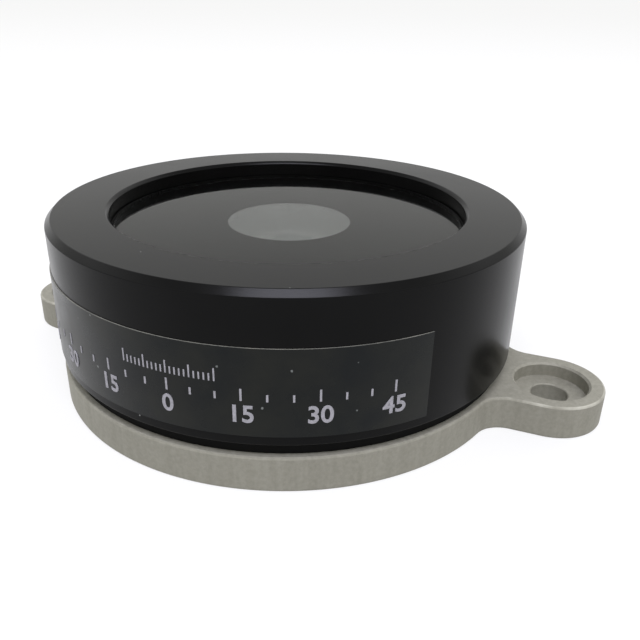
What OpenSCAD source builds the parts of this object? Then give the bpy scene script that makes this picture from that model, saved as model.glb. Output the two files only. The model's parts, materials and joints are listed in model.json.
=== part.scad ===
// Two-axis sun sensor: a black round housing with a masked glass window,
// screwed down on a bead-blasted base plate with two mounting ears.
// Origin: centre of the base plate's underside. +X runs through the two ear
// holes, -Y is the label side, +Y the connector side, +Z the optical axis.

/* [Housing] */
// Outer diameter of the black housing and of the round part of the base plate
housing_d = 60; // [57:0.5:80]
// Thickness of the housing's side wall
housing_wall = 6; // [5.4:0.1:6.6]
// Chamfer round the housing's top outer edge
housing_chamfer = 0.7; // [0.3:0.1:1.5]
// Chamfer round the housing's lower outer edge
housing_foot_chamfer = 0.3; // [0.1:0.1:0.8]

/* [Base plate] */
// Thickness of the base plate and its ears
base_t = 4.3; // [4:0.1:8]
// Distance from the round edge of the plate to each ear hole's centre
ear_reach = 5.7; // [4.7:0.1:12]
// Width of each ear
ear_w = 12.8; // [11:0.1:16]
// Radius of the hollow fillet between an ear and the round plate
ear_fillet_r = 3.5; // [1:0.1:6]
// Diameter of each mounting hole, clearance for an M4 screw
mount_hole_d = 4.5; // [3.4:0.1:6]
// Diameter of the spot face round each mounting hole
mount_seat_d = 9; // [7.5:0.1:9.2]
// Depth of that spot face
mount_seat_depth = 1.8; // [0.5:0.1:3]
// Height of the spigot that centres the housing, above the plate
spigot_h = 3; // [1.6:0.1:3.6]
// Wall of the spigot
spigot_wall = 2.3; // [1:0.1:2.3]
// Radial clearance between the spigot and the housing's bore
spigot_gap = 0.2; // [0.05:0.05:0.5]

/* [Base gasket] */
// Thickness of the gasket between the base plate and the housing
gasket_t = 1.35; // [0.8:0.05:2]
// How far the gasket's edge is set back from the housing's side
gasket_setback = 0.8; // [0.3:0.1:1]

/* [Base screws] */
// Number of screws that hold the base plate to the housing
screw_count = 4; // [3:1:4]
// Thread diameter of these screws
screw_d = 2.5; // [2:0.5:3]
// Wall between the housing's bore and the screws' threads
screw_bore_wall = 0.9; // [0.6:0.1:1.3]
// Length of a screw with its countersunk head
screw_len = 12; // [9:0.5:14]
// Diameter of the countersunk head
screw_head_d = 4.7; // [4.2:0.1:5.4]
// Height of the head's cone
screw_head_h = 1.4; // [1:0.05:2]
// How far the head lies below the underside
screw_sink = 0.15; // [0:0.05:0.4]
// Size across the flats of the hexagonal socket
screw_socket_w = 1.5; // [1.3:0.1:2]
// Depth of the socket
screw_socket_depth = 0.9; // [0.6:0.1:1.2]
// Radial clearance of a screw in its plain hole
screw_gap = 0.2; // [0.05:0.05:0.3]
// Radial clearance of a thread in its tapped hole
thread_gap = 0.05; // [0.02:0.01:0.1]
// Length of a blind tapped hole past the thread's end
tap_runout = 0.8; // [0.3:0.1:1.5]

/* [Window] */
// Diameter of the window glass
window_d = 44.7; // [40:0.1:46]
// Thickness of the window glass
window_t = 1.5; // [1:0.1:2]
// Depth of the glass face below the housing's rim
window_inset = 2.1; // [1:0.1:2.4]
// Width of the sealant between the glass edge and its recess
bead_w = 0.25; // [0.1:0.05:0.5]
// How far the sealant stops below the glass face
bead_inset = 0.1; // [0.05:0.05:0.4]
// Chamfer round the recess at the rim
rim_chamfer = 0.4; // [0.1:0.1:0.8]
// Diameter of the clear spot in the black mask
clear_d = 16; // [8:0.5:24]
// Overlap of the filter disc with the mask round the clear spot
filter_lap = 1; // [0.5:0.1:2]
// Thickness of the filter disc
filter_t = 1; // [0.5:0.1:1.2]
// Thickness of the black mask under the glass
mask_t = 0.1; // [0.05:0.05:0.2]
// Thickness of the flat gasket under the glass
seat_gasket_t = 0.5; // [0.3:0.1:0.8]
// Width of the ledge that carries the glass
ledge_w = 3.1; // [2:0.1:4]
// Thickness of that ledge
ledge_t = 1.7; // [1.2:0.1:1.9]

/* [Sensor] */
// Distance from the mask to the top of the sensor's package
sensor_drop = 2.9; // [2.5:0.1:3.2]
// Diameter of the round ceramic package
package_d = 10.8; // [8:0.1:14]
// Height of the package
package_h = 0.9; // [0.8:0.1:1.2]
// Width of the square well in the package
well_w = 3.8; // [3.2:0.1:4.2]
// Depth of the well
well_depth = 0.6; // [0.5:0.05:0.7]
// Width of each of the four photodiodes
diode_w = 1.3; // [0.8:0.1:1.4]
// Thickness of the photodiodes
diode_t = 0.3; // [0.2:0.05:0.4]
// Gap between neighbouring photodiodes
diode_gap = 0.15; // [0.1:0.05:0.3]
// Width of the square cover plate over the well
cover_w = 4.6; // [4.4:0.1:6]
// Thickness of the cover plate
cover_t = 0.4; // [0.2:0.05:0.6]
// Diameter of the small aperture in the cover plate
aperture_d = 0.6; // [0.3:0.1:1]

/* [Circuit boards] */
// Thickness of the upper board, which carries the sensor
sensor_board_t = 1.2; // [0.8:0.1:1.4]
// Gap from the upper board's edge to the solder cups of the connector
sensor_board_gap = 0.7; // [0.3:0.1:1.5]
// Depth of the notch for the wires in the upper board's edge
notch_depth = 2.5; // [2:0.1:3.5]
// Thickness of the lower board
main_board_t = 1.6; // [1:0.1:1.8]
// Gap from the lower board's edge to the housing's bore
main_board_gap = 1.7; // [1:0.1:2.5]
// Distance from the bore to the straight edge that clears the wires
board_flat_gap = 6.5; // [6:0.1:8]
// Height of the standoffs between the base plate and the lower board
standoff_h = 4.3; // [3.5:0.1:6]
// Gap between the two boards
board_space = 4; // [3.6:0.1:8]
// Size across the flats of the standoffs and spacers
standoff_w = 4.5; // [4:0.1:5]
// Gap from the bore to the centre of a standoff
standoff_gap = 7; // [6:0.1:8]
// Number of standoffs
standoff_count = 3; // [3:1:3]
// Thread diameter of the standoffs and board screws
board_screw_d = 2.5; // [2:0.1:2.5]
// Length of the threaded stud under a standoff or spacer
stud_len = 3; // [2:0.1:3.1]
// Diameter of a board screw's head
board_head_d = 4.5; // [3.6:0.1:4.6]
// Height of a board screw's head
board_head_h = 1.4; // [0.8:0.1:1.5]
// Length of a board screw's thread
board_screw_len = 3; // [2:0.1:3.4]
// Width and depth of the cross recess in a board screw's head
recess_w = 0.7; // [0.4:0.1:0.9]

/* [Board parts] */
// Width of the square processor
processor_w = 7; // [5:0.5:8]
// Height of the processor and other chips
chip_h = 1.5; // [1:0.1:1.7]
// Height of a chip's underside above its board
chip_lift = 0.1; // [0.05:0.05:0.2]
// Reach of the leads beyond a chip's body
lead_reach = 1; // [0.5:0.1:1.2]
// Width of a lead
lead_w = 0.3; // [0.2:0.05:0.35]
// Thickness of a lead
lead_t = 0.15; // [0.1:0.05:0.2]
// Leads on each side of the processor
processor_leads = 8; // [4:1:8]
// Leads on each side of the small chips
small_leads = 4; // [2:1:4]
// Width of the small chips' bodies
small_chip_w = 3.9; // [3:0.1:4.2]
// Length of the small chips' bodies
small_chip_l = 4.9; // [4.6:0.1:6]
// Width of the voltage regulator's body
regulator_w = 3.5; // [3:0.1:4]
// Length of the voltage regulator's body
regulator_l = 6.5; // [5:0.1:7]
// Width of the regulator's cooling tab
tab_w = 3; // [2:0.1:4]
// Distance between the regulator's leads
regulator_pitch = 2.3; // [1.5:0.1:2.4]
// Width of the crystal's can
crystal_w = 3.2; // [2:0.1:3.6]
// Length of the crystal's can
crystal_l = 5; // [3:0.1:5.5]
// Height of the crystal's can
crystal_h = 1.2; // [0.7:0.1:1.8]
// Width of a surge diode
surge_w = 2.6; // [1.6:0.1:3]
// Length of a surge diode
surge_l = 4.4; // [3:0.1:5]
// Height of a surge diode
surge_h = 2.1; // [1.2:0.1:2.3]
// Length of a ceramic capacitor
capacitor_l = 2; // [1.6:0.1:2.6]
// Width and height of a ceramic capacitor
capacitor_w = 1.25; // [0.8:0.05:1.5]
// Length of a resistor
resistor_l = 1.6; // [1:0.1:2]
// Width of a resistor
resistor_w = 0.8; // [0.5:0.1:1.1]
// Height of a resistor
resistor_h = 0.5; // [0.3:0.05:0.7]
// Length of the metal end on a capacitor, resistor or diode
cap_end_l = 0.35; // [0.2:0.05:0.45]
// How far that metal end stands proud of the body
cap_end_proud = 0.04; // [0.02:0.01:0.08]
// Gap between neighbouring parts on a board
part_gap = 0.8; // [0.5:0.1:1]
// Length of the plug that joins the two boards
link_l = 12; // [8:0.5:13]
// Width of the plug that joins the two boards
link_w = 2.6; // [2:0.1:3.2]
// Width of its narrower waist
link_waist_w = 1.8; // [1.2:0.1:1.9]
// Length of the wire header
header_l = 10; // [9:0.1:11]
// Depth of the wire header
header_w = 4; // [3:0.1:4.4]
// Height of the wire header
header_h = 3; // [2.4:0.1:3.1]
// Distance from the header to the board's straight edge
header_setback = 2; // [1.4:0.1:2.6]
// Wall of the header's socket
header_wall = 0.6; // [0.4:0.1:0.8]
// Depth of the header's socket
header_socket_depth = 0.8; // [0.4:0.1:1.2]

/* [Connector] */
// Thread diameter of the connector's shell
connector_d = 8; // [7.4:0.1:8.6]
// Bore of the shell
connector_bore_d = 6; // [5.6:0.1:6.4]
// Length of the thread outside the flange
connector_reach = 7; // [5:0.1:9]
// Size across the flats of the hexagonal flange
connector_flange_w = 10; // [9.8:0.1:10.3]
// Thickness of the flange
connector_flange_t = 2.5; // [1.5:0.1:3.5]
// Chamfer at the ends of the shell
connector_chamfer = 0.4; // [0.2:0.05:0.7]
// Gap between the flange's corners and the edge of the flat face milled for it
connector_seat_gap = 0.2; // [0.1:0.05:0.4]
// Depth of that flat face from the housing's side, at its middle
connector_seat_depth = 1; // [0.7:0.1:1.4]
// Thickness of the sealing washer under the flange
connector_seal_t = 0.8; // [0.5:0.1:1.2]
// Radial clearance of the insert in the shell, and of the shell in its hole
connector_gap = 0.05; // [0.02:0.01:0.1]
// How far the insert's face lies inside the mouth
insert_inset = 4.3; // [3.5:0.1:6]
// How far the insert reaches back past the wall's inner face
insert_back = 0.8; // [0.4:0.1:1]
// Number of contact pins
pin_count = 4; // [3:1:4]
// Width of the insert outside the pins
pin_wall = 0.5; // [0.3:0.05:0.7]
// Diameter of a contact pin
pin_d = 1; // [0.8:0.1:1]
// How far a pin stands out of the insert
pin_reach = 3.5; // [2.5:0.1:4]
// Diameter of a pin's solder cup
cup_d = 1.4; // [1.1:0.1:1.5]
// Length of a solder cup behind the insert
cup_len = 1.5; // [1:0.1:1.7]
// Width of the key in the insert's face
key_w = 0.9; // [0.6:0.1:1.1]
// Diameter of a wire with its insulation
wire_d = 0.9; // [0.6:0.1:1]
// Distance between the wires at the header
wire_pitch = 2; // [1.6:0.1:2.2]

/* [Label] */
// Length of the bare label along the housing's side
label_l = 55.5; // [20:0.5:70]
// Height of the label
label_h = 10; // [5:0.5:12]
// Thickness of the label
label_t = 0.2; // [0.1:0.05:0.3]
// Distance from the housing's lower edge to the label
label_rise = 1.35; // [0.8:0.05:3]

/* [Hidden] */
$fn = 96;

// Overrun of every cut past the face that it opens
cut = 0.5;

// Levels, from the underside up
housing_r = housing_d / 2;
bore_r = housing_r - housing_wall;
housing_z = base_t + gasket_t;
main_board_z = base_t + standoff_h;
main_top_z = main_board_z + main_board_t;
sensor_board_z = main_top_z + board_space;
package_z = sensor_board_z + sensor_board_t;
mask_z = package_z + package_h + sensor_drop;
ledge_z = mask_z - seat_gasket_t;
glass_z = mask_z + mask_t;
top_z = glass_z + window_t + window_inset;

// The connector, along +Y, midway between the boards
connector_z = main_top_z + board_space / 2;
connector_r = connector_d / 2;
flange_d = connector_flange_w * 2 / sqrt(3);
seat_y = housing_r - connector_seat_depth;
flange_y = seat_y + connector_seal_t;
mouth_y = flange_y + connector_flange_t + connector_reach;
insert_y = bore_r - insert_back;
insert_l = mouth_y - insert_inset - insert_y;
insert_r = connector_bore_d / 2 - connector_gap;
pin_circle_r = connector_bore_d / 2 - pin_wall - pin_d / 2;
cup_y = insert_y - cup_len;

// Radii and places that follow from the driving sizes
ear_x = housing_r + ear_reach;
ear_r = ear_w / 2;
gasket_r = housing_r - gasket_setback;
screw_circle_r = bore_r + screw_bore_wall + screw_d / 2;
window_r = window_d / 2;
recess_r = window_r + bead_w;
ledge_r = recess_r - ledge_w;
sensor_board_r = cup_y - sensor_board_gap;
main_board_r = bore_r - main_board_gap;
board_flat_y = bore_r - board_flat_gap;
standoff_circle_r = bore_r - standoff_gap;
standoff_start = -90;

// Rows of parts on the lower board, from its straight edge inwards
header_y = board_flat_y - header_setback;
wire_z = main_top_z + header_h / 2;
small_chip_reach = small_chip_w + 2 * lead_reach;
row_y = header_y - header_w - part_gap;
transceiver_x = -surge_w - part_gap;
surge_x = transceiver_x + (small_chip_reach + surge_w) / 2 + part_gap;
surge_count = 2;
processor_y = row_y - max(small_chip_l, surge_l) - part_gap - lead_reach - processor_w / 2;
crystal_x = -processor_w / 2 - lead_reach - part_gap - crystal_w / 2;
link_x = crystal_x - (crystal_w + link_w) / 2 - part_gap;
regulator_x = processor_w / 2 + 2 * lead_reach + part_gap + regulator_w / 2;
capacitor_pitch = capacitor_w + part_gap;
crystal_side_y = processor_y - (crystal_l + capacitor_l) / 2 - part_gap;
regulator_side_y = processor_y + (regulator_l + capacitor_l) / 2 + part_gap;
capacitor_places = [
    [crystal_x - capacitor_pitch / 2, crystal_side_y],
    [crystal_x + capacitor_pitch / 2, crystal_side_y],
    [regulator_x, regulator_side_y],
    [regulator_x + capacitor_pitch, regulator_side_y]
];
resistor_count = 4;
resistor_pitch = resistor_w + part_gap;
resistor_y = processor_y - (regulator_l + resistor_l) / 2 - part_gap;

// Round ring about Z, standing on z = 0
module ring(outer_r, inner_r, height) {
    difference() {
        cylinder(r = outer_r, h = height);
        translate([0, 0, -cut])
            cylinder(r = inner_r, h = height + 2 * cut);
    }
}

// Copies its children round Z, at the base screws
module at_screws() {
    for (i = [0 : screw_count - 1])
        rotate([0, 0, 180 / screw_count + i * 360 / screw_count])
            translate([screw_circle_r, 0, 0])
                children();
}

// Copies its children round Z, at the standoffs
module at_standoffs() {
    for (i = [0 : standoff_count - 1])
        rotate([0, 0, standoff_start + i * 360 / standoff_count])
            translate([standoff_circle_r, 0, 0])
                children();
}

// Places its children on the lower board
module on_main_board(x, y) {
    translate([x, y, main_top_z])
        children();
}

// Turns its children's Z axis along the connector's axis, from a given Y
module along_connector(y) {
    translate([0, y, connector_z])
        rotate([-90, 0, 0])
            children();
}

// Half of the base outline: round plate, ear and hollow fillets
module ear_outline() {
    fillet_y = ear_r + ear_fillet_r;
    fillet_x = sqrt(pow(housing_r + ear_fillet_r, 2) - pow(fillet_y, 2));
    translate([ear_x, 0])
        circle(r = ear_r);
    translate([0, -ear_r])
        square([ear_x, ear_w]);
    for (side = [-1, 1])
        difference() {
            polygon([[0, 0], [fillet_x, 0], [fillet_x, side * fillet_y]]);
            translate([fillet_x, side * fillet_y])
                circle(r = ear_fillet_r);
        }
}

module base_plate() {
    color([0.58, 0.57, 0.53])
        difference() {
            union() {
                linear_extrude(height = base_t) {
                    circle(r = housing_r);
                    ear_outline();
                    mirror([1, 0])
                        ear_outline();
                }
                translate([0, 0, base_t])
                    ring(bore_r - spigot_gap, bore_r - spigot_gap - spigot_wall, spigot_h);
            }
            for (side = [-1, 1])
                translate([side * ear_x, 0, -cut]) {
                    cylinder(d = mount_hole_d, h = base_t + 2 * cut);
                    translate([0, 0, cut + base_t - mount_seat_depth])
                        cylinder(d = mount_seat_d, h = mount_seat_depth + cut);
                }
            at_screws() {
                translate([0, 0, -cut])
                    cylinder(r = screw_d / 2 + screw_gap, h = base_t + 2 * cut);
                screw_cone(screw_gap);
            }
            at_standoffs()
                translate([0, 0, base_t - stud_len - screw_gap])
                    cylinder(r = board_screw_d / 2 + thread_gap, h = stud_len + screw_gap + cut);
        }
}

// Countersunk cone of a base screw, grown by a clearance, open to the underside
module screw_cone(gap) {
    rotate_extrude()
        polygon([
            [0, gap > 0 ? -cut : screw_sink],
            [screw_head_d / 2 + gap, gap > 0 ? -cut : screw_sink],
            [screw_head_d / 2 + gap, screw_sink],
            [screw_d / 2 + gap, screw_sink + screw_head_h],
            [0, screw_sink + screw_head_h]
        ]);
}

module base_screws() {
    color([0.66, 0.66, 0.67])
        at_screws()
            difference() {
                union() {
                    screw_cone(0);
                    translate([0, 0, screw_sink])
                        cylinder(d = screw_d, h = screw_len);
                }
                translate([0, 0, screw_sink - cut])
                    cylinder(d = screw_socket_w * 2 / sqrt(3), h = screw_socket_depth + cut, $fn = 6);
            }
}

module base_gasket() {
    color([0.09, 0.09, 0.08])
        difference() {
            translate([0, 0, base_t])
                ring(gasket_r, bore_r, gasket_t);
            at_screws()
                translate([0, 0, base_t - cut])
                    cylinder(r = screw_d / 2 + screw_gap, h = gasket_t + 2 * cut);
        }
}

module sensor_housing() {
    color([0.1, 0.1, 0.1])
        difference() {
            rotate_extrude()
                polygon([
                    [bore_r, housing_z],
                    [housing_r - housing_foot_chamfer, housing_z],
                    [housing_r, housing_z + housing_foot_chamfer],
                    [housing_r, top_z - housing_chamfer],
                    [housing_r - housing_chamfer, top_z],
                    [recess_r + rim_chamfer, top_z],
                    [recess_r, top_z - rim_chamfer],
                    [recess_r, ledge_z],
                    [ledge_r, ledge_z],
                    [ledge_r, ledge_z - ledge_t],
                    [bore_r, ledge_z - ledge_t]
                ]);
            at_screws()
                translate([0, 0, housing_z - cut])
                    cylinder(
                        r = screw_d / 2 + thread_gap,
                        h = screw_sink + screw_len + tap_runout - housing_z + cut
                    );
            along_connector(bore_r - housing_wall)
                cylinder(r = connector_r + connector_gap, h = 2 * housing_wall + cut);
            along_connector(seat_y)
                cylinder(r = flange_d / 2 + connector_seat_gap, h = connector_seat_depth + cut);
        }
}

module window_gasket() {
    color([0.13, 0.13, 0.12])
        translate([0, 0, ledge_z])
            ring(window_r, ledge_r, seat_gasket_t);
}

module window_mask() {
    color([0.04, 0.04, 0.04])
        translate([0, 0, mask_z])
            ring(window_r, clear_d / 2, mask_t);
}

// Grey filter bonded under the clear spot, on the mask's inner edge
module filter_disc() {
    color([0.5, 0.51, 0.5])
        translate([0, 0, mask_z - filter_t])
            cylinder(r = clear_d / 2 + filter_lap, h = filter_t);
}

module window_glass() {
    color([0.55, 0.58, 0.58, 0.35])
        translate([0, 0, glass_z])
            cylinder(r = window_r, h = window_t);
}

module window_bead() {
    color([0.06, 0.06, 0.06])
        translate([0, 0, ledge_z])
            ring(recess_r, window_r, seat_gasket_t + mask_t + window_t - bead_inset);
}

module sensor_board() {
    color([0.82, 0.83, 0.8])
        difference() {
            translate([0, 0, sensor_board_z])
                cylinder(r = sensor_board_r, h = sensor_board_t);
            translate([-connector_bore_d / 2, sensor_board_r - notch_depth, sensor_board_z - cut])
                cube([connector_bore_d, notch_depth + cut, sensor_board_t + 2 * cut]);
            at_standoffs()
                translate([0, 0, sensor_board_z - cut])
                    cylinder(r = board_screw_d / 2 + screw_gap, h = sensor_board_t + 2 * cut);
        }
}

module sensor_package() {
    color([0.88, 0.87, 0.84])
        difference() {
            translate([0, 0, package_z])
                cylinder(d = package_d, h = package_h);
            translate([-well_w / 2, -well_w / 2, package_z + package_h - well_depth])
                cube([well_w, well_w, well_depth + cut]);
        }
}

module photodiodes() {
    step = (diode_w + diode_gap) / 2;
    color([0.14, 0.16, 0.24])
        for (x = [-step, step], y = [-step, step])
            translate([x - diode_w / 2, y - diode_w / 2, package_z + package_h - well_depth])
                cube([diode_w, diode_w, diode_t]);
}

module aperture_cover() {
    color([0.3, 0.31, 0.33])
        difference() {
            translate([-cover_w / 2, -cover_w / 2, package_z + package_h])
                cube([cover_w, cover_w, cover_t]);
            translate([0, 0, package_z + package_h - cut])
                cylinder(d = aperture_d, h = cover_t + 2 * cut);
        }
}

// Pan-head screws that clamp the upper board on the spacers
module board_screws() {
    color([0.74, 0.74, 0.75])
        at_standoffs()
            translate([0, 0, package_z])
                difference() {
                    union() {
                        cylinder(d = board_head_d, h = board_head_h);
                        translate([0, 0, -board_screw_len])
                            cylinder(d = board_screw_d, h = board_screw_len);
                    }
                    for (turn = [0, 90])
                        rotate([0, 0, turn])
                            translate([-board_screw_d / 2, -recess_w / 2, board_head_h - recess_w])
                                cube([board_screw_d, recess_w, recess_w + cut]);
                }
}

// Hexagonal pillar with a threaded stud below and a tapped hole in its top
module pillar(height, stud, tap) {
    difference() {
        union() {
            cylinder(d = standoff_w * 2 / sqrt(3), h = height, $fn = 6);
            translate([0, 0, -stud])
                cylinder(d = board_screw_d, h = stud);
        }
        translate([0, 0, height - tap])
            cylinder(r = board_screw_d / 2 + thread_gap, h = tap + cut);
    }
}

module board_spacers() {
    color([0.72, 0.6, 0.32])
        at_standoffs()
            translate([0, 0, main_top_z])
                pillar(board_space, stud_len, board_screw_len - sensor_board_t + screw_gap);
}

module board_standoffs() {
    color([0.72, 0.6, 0.32])
        at_standoffs()
            translate([0, 0, base_t])
                pillar(standoff_h, stud_len, stud_len - main_board_t + screw_gap);
}

module main_board() {
    color([0.06, 0.3, 0.16])
        difference() {
            translate([0, 0, main_board_z])
                cylinder(r = main_board_r, h = main_board_t);
            translate([-main_board_r, board_flat_y, main_board_z - cut])
                cube([2 * main_board_r, main_board_r, main_board_t + 2 * cut]);
            at_standoffs()
                translate([0, 0, main_board_z - cut])
                    cylinder(r = board_screw_d / 2 + screw_gap, h = main_board_t + 2 * cut);
        }
}

// One gull-wing lead, from a body's side face at x = 0 out along +X
module lead(width, body_h) {
    shoulder = chip_lift + body_h / 2;
    foot = lead_reach / 2;
    rotate([90, 0, 0])
        linear_extrude(height = width, center = true)
            polygon([
                [0, shoulder + lead_t / 2],
                [foot, shoulder + lead_t / 2],
                [foot, lead_t],
                [lead_reach, lead_t],
                [lead_reach, 0],
                [foot - lead_t, 0],
                [foot - lead_t, shoulder - lead_t / 2],
                [0, shoulder - lead_t / 2]
            ]);
}

// Row of leads along one side of a body, facing +X
module lead_row(body_w, count, pitch) {
    for (i = [0 : count - 1])
        translate([body_w / 2, (i - (count - 1) / 2) * pitch, 0])
            lead(lead_w, chip_h);
}

module processor() {
    color([0.11, 0.11, 0.12])
        on_main_board(0, processor_y) {
            translate([-processor_w / 2, -processor_w / 2, chip_lift])
                cube([processor_w, processor_w, chip_h]);
            for (turn = [0 : 90 : 270])
                rotate([0, 0, turn])
                    lead_row(processor_w, processor_leads, processor_w / (processor_leads + 1));
        }
}

// Small chip with leads on its two long sides
module small_chip() {
    translate([-small_chip_w / 2, -small_chip_l / 2, chip_lift])
        cube([small_chip_w, small_chip_l, chip_h]);
    for (turn = [0, 180])
        rotate([0, 0, turn])
            lead_row(small_chip_w, small_leads, small_chip_l / small_leads);
}

module transceiver() {
    color([0.13, 0.13, 0.14])
        on_main_board(transceiver_x, row_y - small_chip_l / 2)
            small_chip();
}

module amplifier() {
    color([0.13, 0.13, 0.14])
        translate([regulator_x, resistor_y - small_chip_l / 2, sensor_board_z])
            rotate([180, 0, 0])
                small_chip();
}

module voltage_regulator() {
    color([0.12, 0.12, 0.12])
        on_main_board(regulator_x, processor_y) {
            translate([-regulator_w / 2, -regulator_l / 2, chip_lift])
                cube([regulator_w, regulator_l, chip_h]);
            for (i = [-1, 0, 1])
                translate([-regulator_w / 2, i * regulator_pitch, 0])
                    mirror([1, 0, 0])
                        lead(2 * lead_w, chip_h);
            translate([regulator_w / 2, 0, 0])
                lead(tab_w, chip_h);
        }
}

module crystal() {
    color([0.75, 0.75, 0.72])
        on_main_board(crystal_x, processor_y) {
            translate([-crystal_w / 2, -crystal_l / 2, 0])
                cube([crystal_w, crystal_l, crystal_h - lead_t]);
            translate([-crystal_w / 2 + lead_w, -crystal_l / 2 + lead_w, crystal_h - lead_t])
                cube([crystal_w - 2 * lead_w, crystal_l - 2 * lead_w, lead_t]);
        }
}

// Two-ended board part along Y: a body between two metal ends
module two_ended(length, width, height) {
    translate([-width / 2 + cap_end_proud, -length / 2 + cap_end_proud, cap_end_proud])
        cube([width - 2 * cap_end_proud, length - 2 * cap_end_proud, height - 2 * cap_end_proud]);
    for (y = [-length / 2, length / 2 - cap_end_l])
        translate([-width / 2, y, 0])
            cube([width, cap_end_l, height]);
}

module surge_diodes() {
    color([0.16, 0.16, 0.16])
        for (i = [0 : surge_count - 1])
            on_main_board(surge_x + i * (surge_w + part_gap), row_y - surge_l / 2)
                two_ended(surge_l, surge_w, surge_h);
}

module capacitors() {
    color([0.6, 0.5, 0.38])
        for (place = capacitor_places)
            on_main_board(place[0], place[1])
                two_ended(capacitor_l, capacitor_w, capacitor_w);
}

module resistors() {
    color([0.2, 0.2, 0.22])
        for (i = [0 : resistor_count - 1])
            on_main_board(regulator_x + (i - (resistor_count - 1) / 2) * resistor_pitch, resistor_y)
                two_ended(resistor_l, resistor_w, resistor_h);
}

// Plug and socket between the two boards, with a waist where they meet
module board_link() {
    third = board_space / 3;
    color([0.8, 0.77, 0.68])
        on_main_board(link_x, processor_y) {
            for (z = [0, board_space - third])
                translate([-link_w / 2, -link_l / 2, z])
                    cube([link_w, link_l, third]);
            translate([-link_waist_w / 2, -link_l / 2 + (link_w - link_waist_w) / 2, 0])
                cube([link_waist_w, link_l - (link_w - link_waist_w), board_space]);
        }
}

module wire_header() {
    color([0.86, 0.84, 0.78])
        difference() {
            translate([-header_l / 2, header_y - header_w, main_top_z])
                cube([header_l, header_w, header_h]);
            translate([
                -header_l / 2 + header_wall, header_y - header_socket_depth, main_top_z + header_wall
            ])
                cube([
                    header_l - 2 * header_wall, header_socket_depth + cut, header_h - 2 * header_wall
                ]);
        }
}

// Round tube along -Y, from one point to another, in a soft double bend
module bent_wire(from, to) {
    rings = 12;
    sides = 10;
    points = [
        for (k = [0 : rings])
            let (share = max(0, min(1, (k - 1) / (rings - 2))), ease = (1 - cos(180 * share)) / 2)
                for (i = [0 : sides - 1]) [
                    from[0] + (to[0] - from[0]) * ease + wire_d / 2 * cos(i * 360 / sides),
                    from[1] + (to[1] - from[1]) * k / rings,
                    from[2] + (to[2] - from[2]) * ease + wire_d / 2 * sin(i * 360 / sides)
                ]
    ];
    walls = [
        for (k = [0 : rings - 1], i = [0 : sides - 1])
            let (a = k * sides + i, b = k * sides + (i + 1) % sides)
                for (face = [[a, a + sides, b], [b, a + sides, b + sides]]) face
    ];
    ends = [
        for (i = [1 : sides - 2])
            for (face = [[0, i, i + 1], rings * sides * [1, 1, 1] + [0, i + 1, i]]) face
    ];
    polyhedron(points, concat(walls, ends));
}

// Wires from the solder cups down to the header, each with two bends
module connector_wires() {
    color([0.7, 0.1, 0.08])
        for (i = [0 : pin_count - 1]) {
            angle = 180 / pin_count + i * 360 / pin_count;
            x = pin_circle_r * cos(angle);
            z = connector_z - pin_circle_r * sin(angle);
            slot = (z > connector_z ? 3 : 1) * (x < 0 ? -1 : 1) * wire_pitch / 2;
            bent_wire([x, cup_y, z], [slot, header_y - header_socket_depth, wire_z]);
        }
}

module connector_shell() {
    shell_y = bore_r + connector_gap;
    color([0.72, 0.71, 0.68])
        difference() {
            union() {
                along_connector(shell_y)
                    cylinder(r = connector_r, h = mouth_y - connector_chamfer - shell_y);
                along_connector(mouth_y - connector_chamfer)
                    rotate_extrude()
                        polygon([
                            [0, 0],
                            [connector_r, 0],
                            [connector_r - connector_chamfer, connector_chamfer],
                            [0, connector_chamfer]
                        ]);
                along_connector(flange_y)
                    cylinder(d = flange_d, h = connector_flange_t, $fn = 6);
            }
            along_connector(shell_y - cut)
                cylinder(d = connector_bore_d, h = mouth_y - shell_y + 2 * cut);
        }
}

module connector_seal() {
    color([0.1, 0.1, 0.1])
        along_connector(seat_y)
            ring(connector_flange_w / 2, connector_r + connector_gap, connector_seal_t);
}

// Copies its children at the contact pins, along the connector's axis
module at_pins() {
    for (i = [0 : pin_count - 1])
        rotate([0, 0, 180 / pin_count + i * 360 / pin_count])
            translate([pin_circle_r, 0, 0])
                children();
}

module connector_insert() {
    color([0.08, 0.08, 0.09])
        along_connector(insert_y)
            difference() {
                cylinder(r = insert_r, h = insert_l);
                translate([0, 0, -cut])
                    at_pins()
                        cylinder(d = pin_d, h = insert_l + 2 * cut);
                translate([-key_w / 2, insert_r - key_w / 2, insert_l - key_w])
                    cube([key_w, key_w, key_w + cut]);
            }
}

module connector_pins() {
    color([0.83, 0.69, 0.37])
        along_connector(cup_y)
            at_pins() {
                cylinder(d = cup_d, h = cup_len);
                cylinder(d = pin_d, h = cup_len + insert_l + pin_reach);
            }
}

// Bare label wrapped round the side, centred on -Y
module label() {
    angle = label_l / (2 * PI * housing_r) * 360;
    color([0.2, 0.2, 0.2])
        rotate([0, 0, -90 - angle / 2])
            rotate_extrude(angle = angle)
                translate([housing_r, housing_z + label_rise])
                    square([label_t, label_h]);
}

base_plate();
base_gasket();
sensor_housing();
base_screws();
window_gasket();
window_mask();
filter_disc();
window_glass();
window_bead();
sensor_board();
sensor_package();
photodiodes();
aperture_cover();
board_screws();
board_spacers();
main_board();
board_standoffs();
processor();
transceiver();
amplifier();
voltage_regulator();
crystal();
surge_diodes();
capacitors();
resistors();
board_link();
wire_header();
connector_wires();
connector_shell();
connector_insert();
connector_pins();
connector_seal();
label();
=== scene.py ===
import json
import math

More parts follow.
